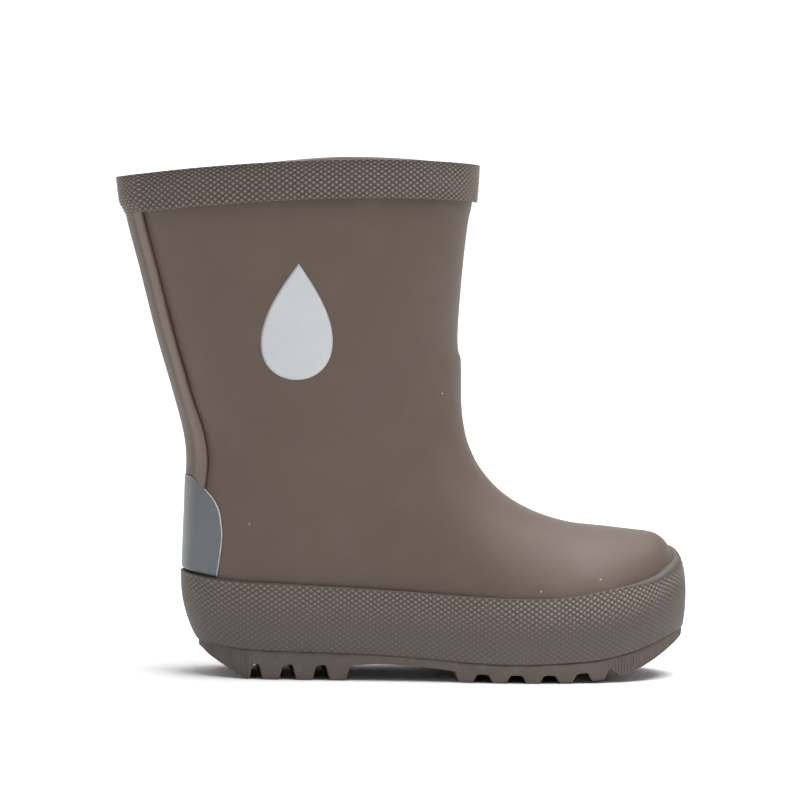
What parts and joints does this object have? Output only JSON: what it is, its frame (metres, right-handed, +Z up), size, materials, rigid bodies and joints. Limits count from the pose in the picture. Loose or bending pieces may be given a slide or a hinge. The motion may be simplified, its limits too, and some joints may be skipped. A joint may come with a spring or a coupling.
{
  "type": "wellington boot",
  "caption": "Child's rubber wellington boot: hollow shaft and foot, knurled foxing and collar band, lugged outsole, flat insole.",
  "frame": {"origin": "on the floor, under the middle of the box that the boot fills", "axes": "+X towards the toe, +Y towards the inner side of the foot, +Z up the shaft"},
  "size_m": [0.1902, 0.069, 0.1694],
  "materials": {
    "shaft_rubber": "smooth satin natural rubber, taupe",
    "knurled_rubber": "satin rubber with a fine raised diamond knurl",
    "sole_rubber": "matt moulded rubber",
    "reflective_patch": "thin silver grey reflective film",
    "foam_cloth": "knitted cotton on foam"
  },
  "bodies": {
    "root": {"outsole": "sole_rubber", "insole": "foam_cloth", "upper": "shaft_rubber", "foxing_band": "knurled_rubber", "top_band": "knurled_rubber", "back_strip": "shaft_rubber", "heel_patch": "reflective_patch"}
  },
  "joints": []
}
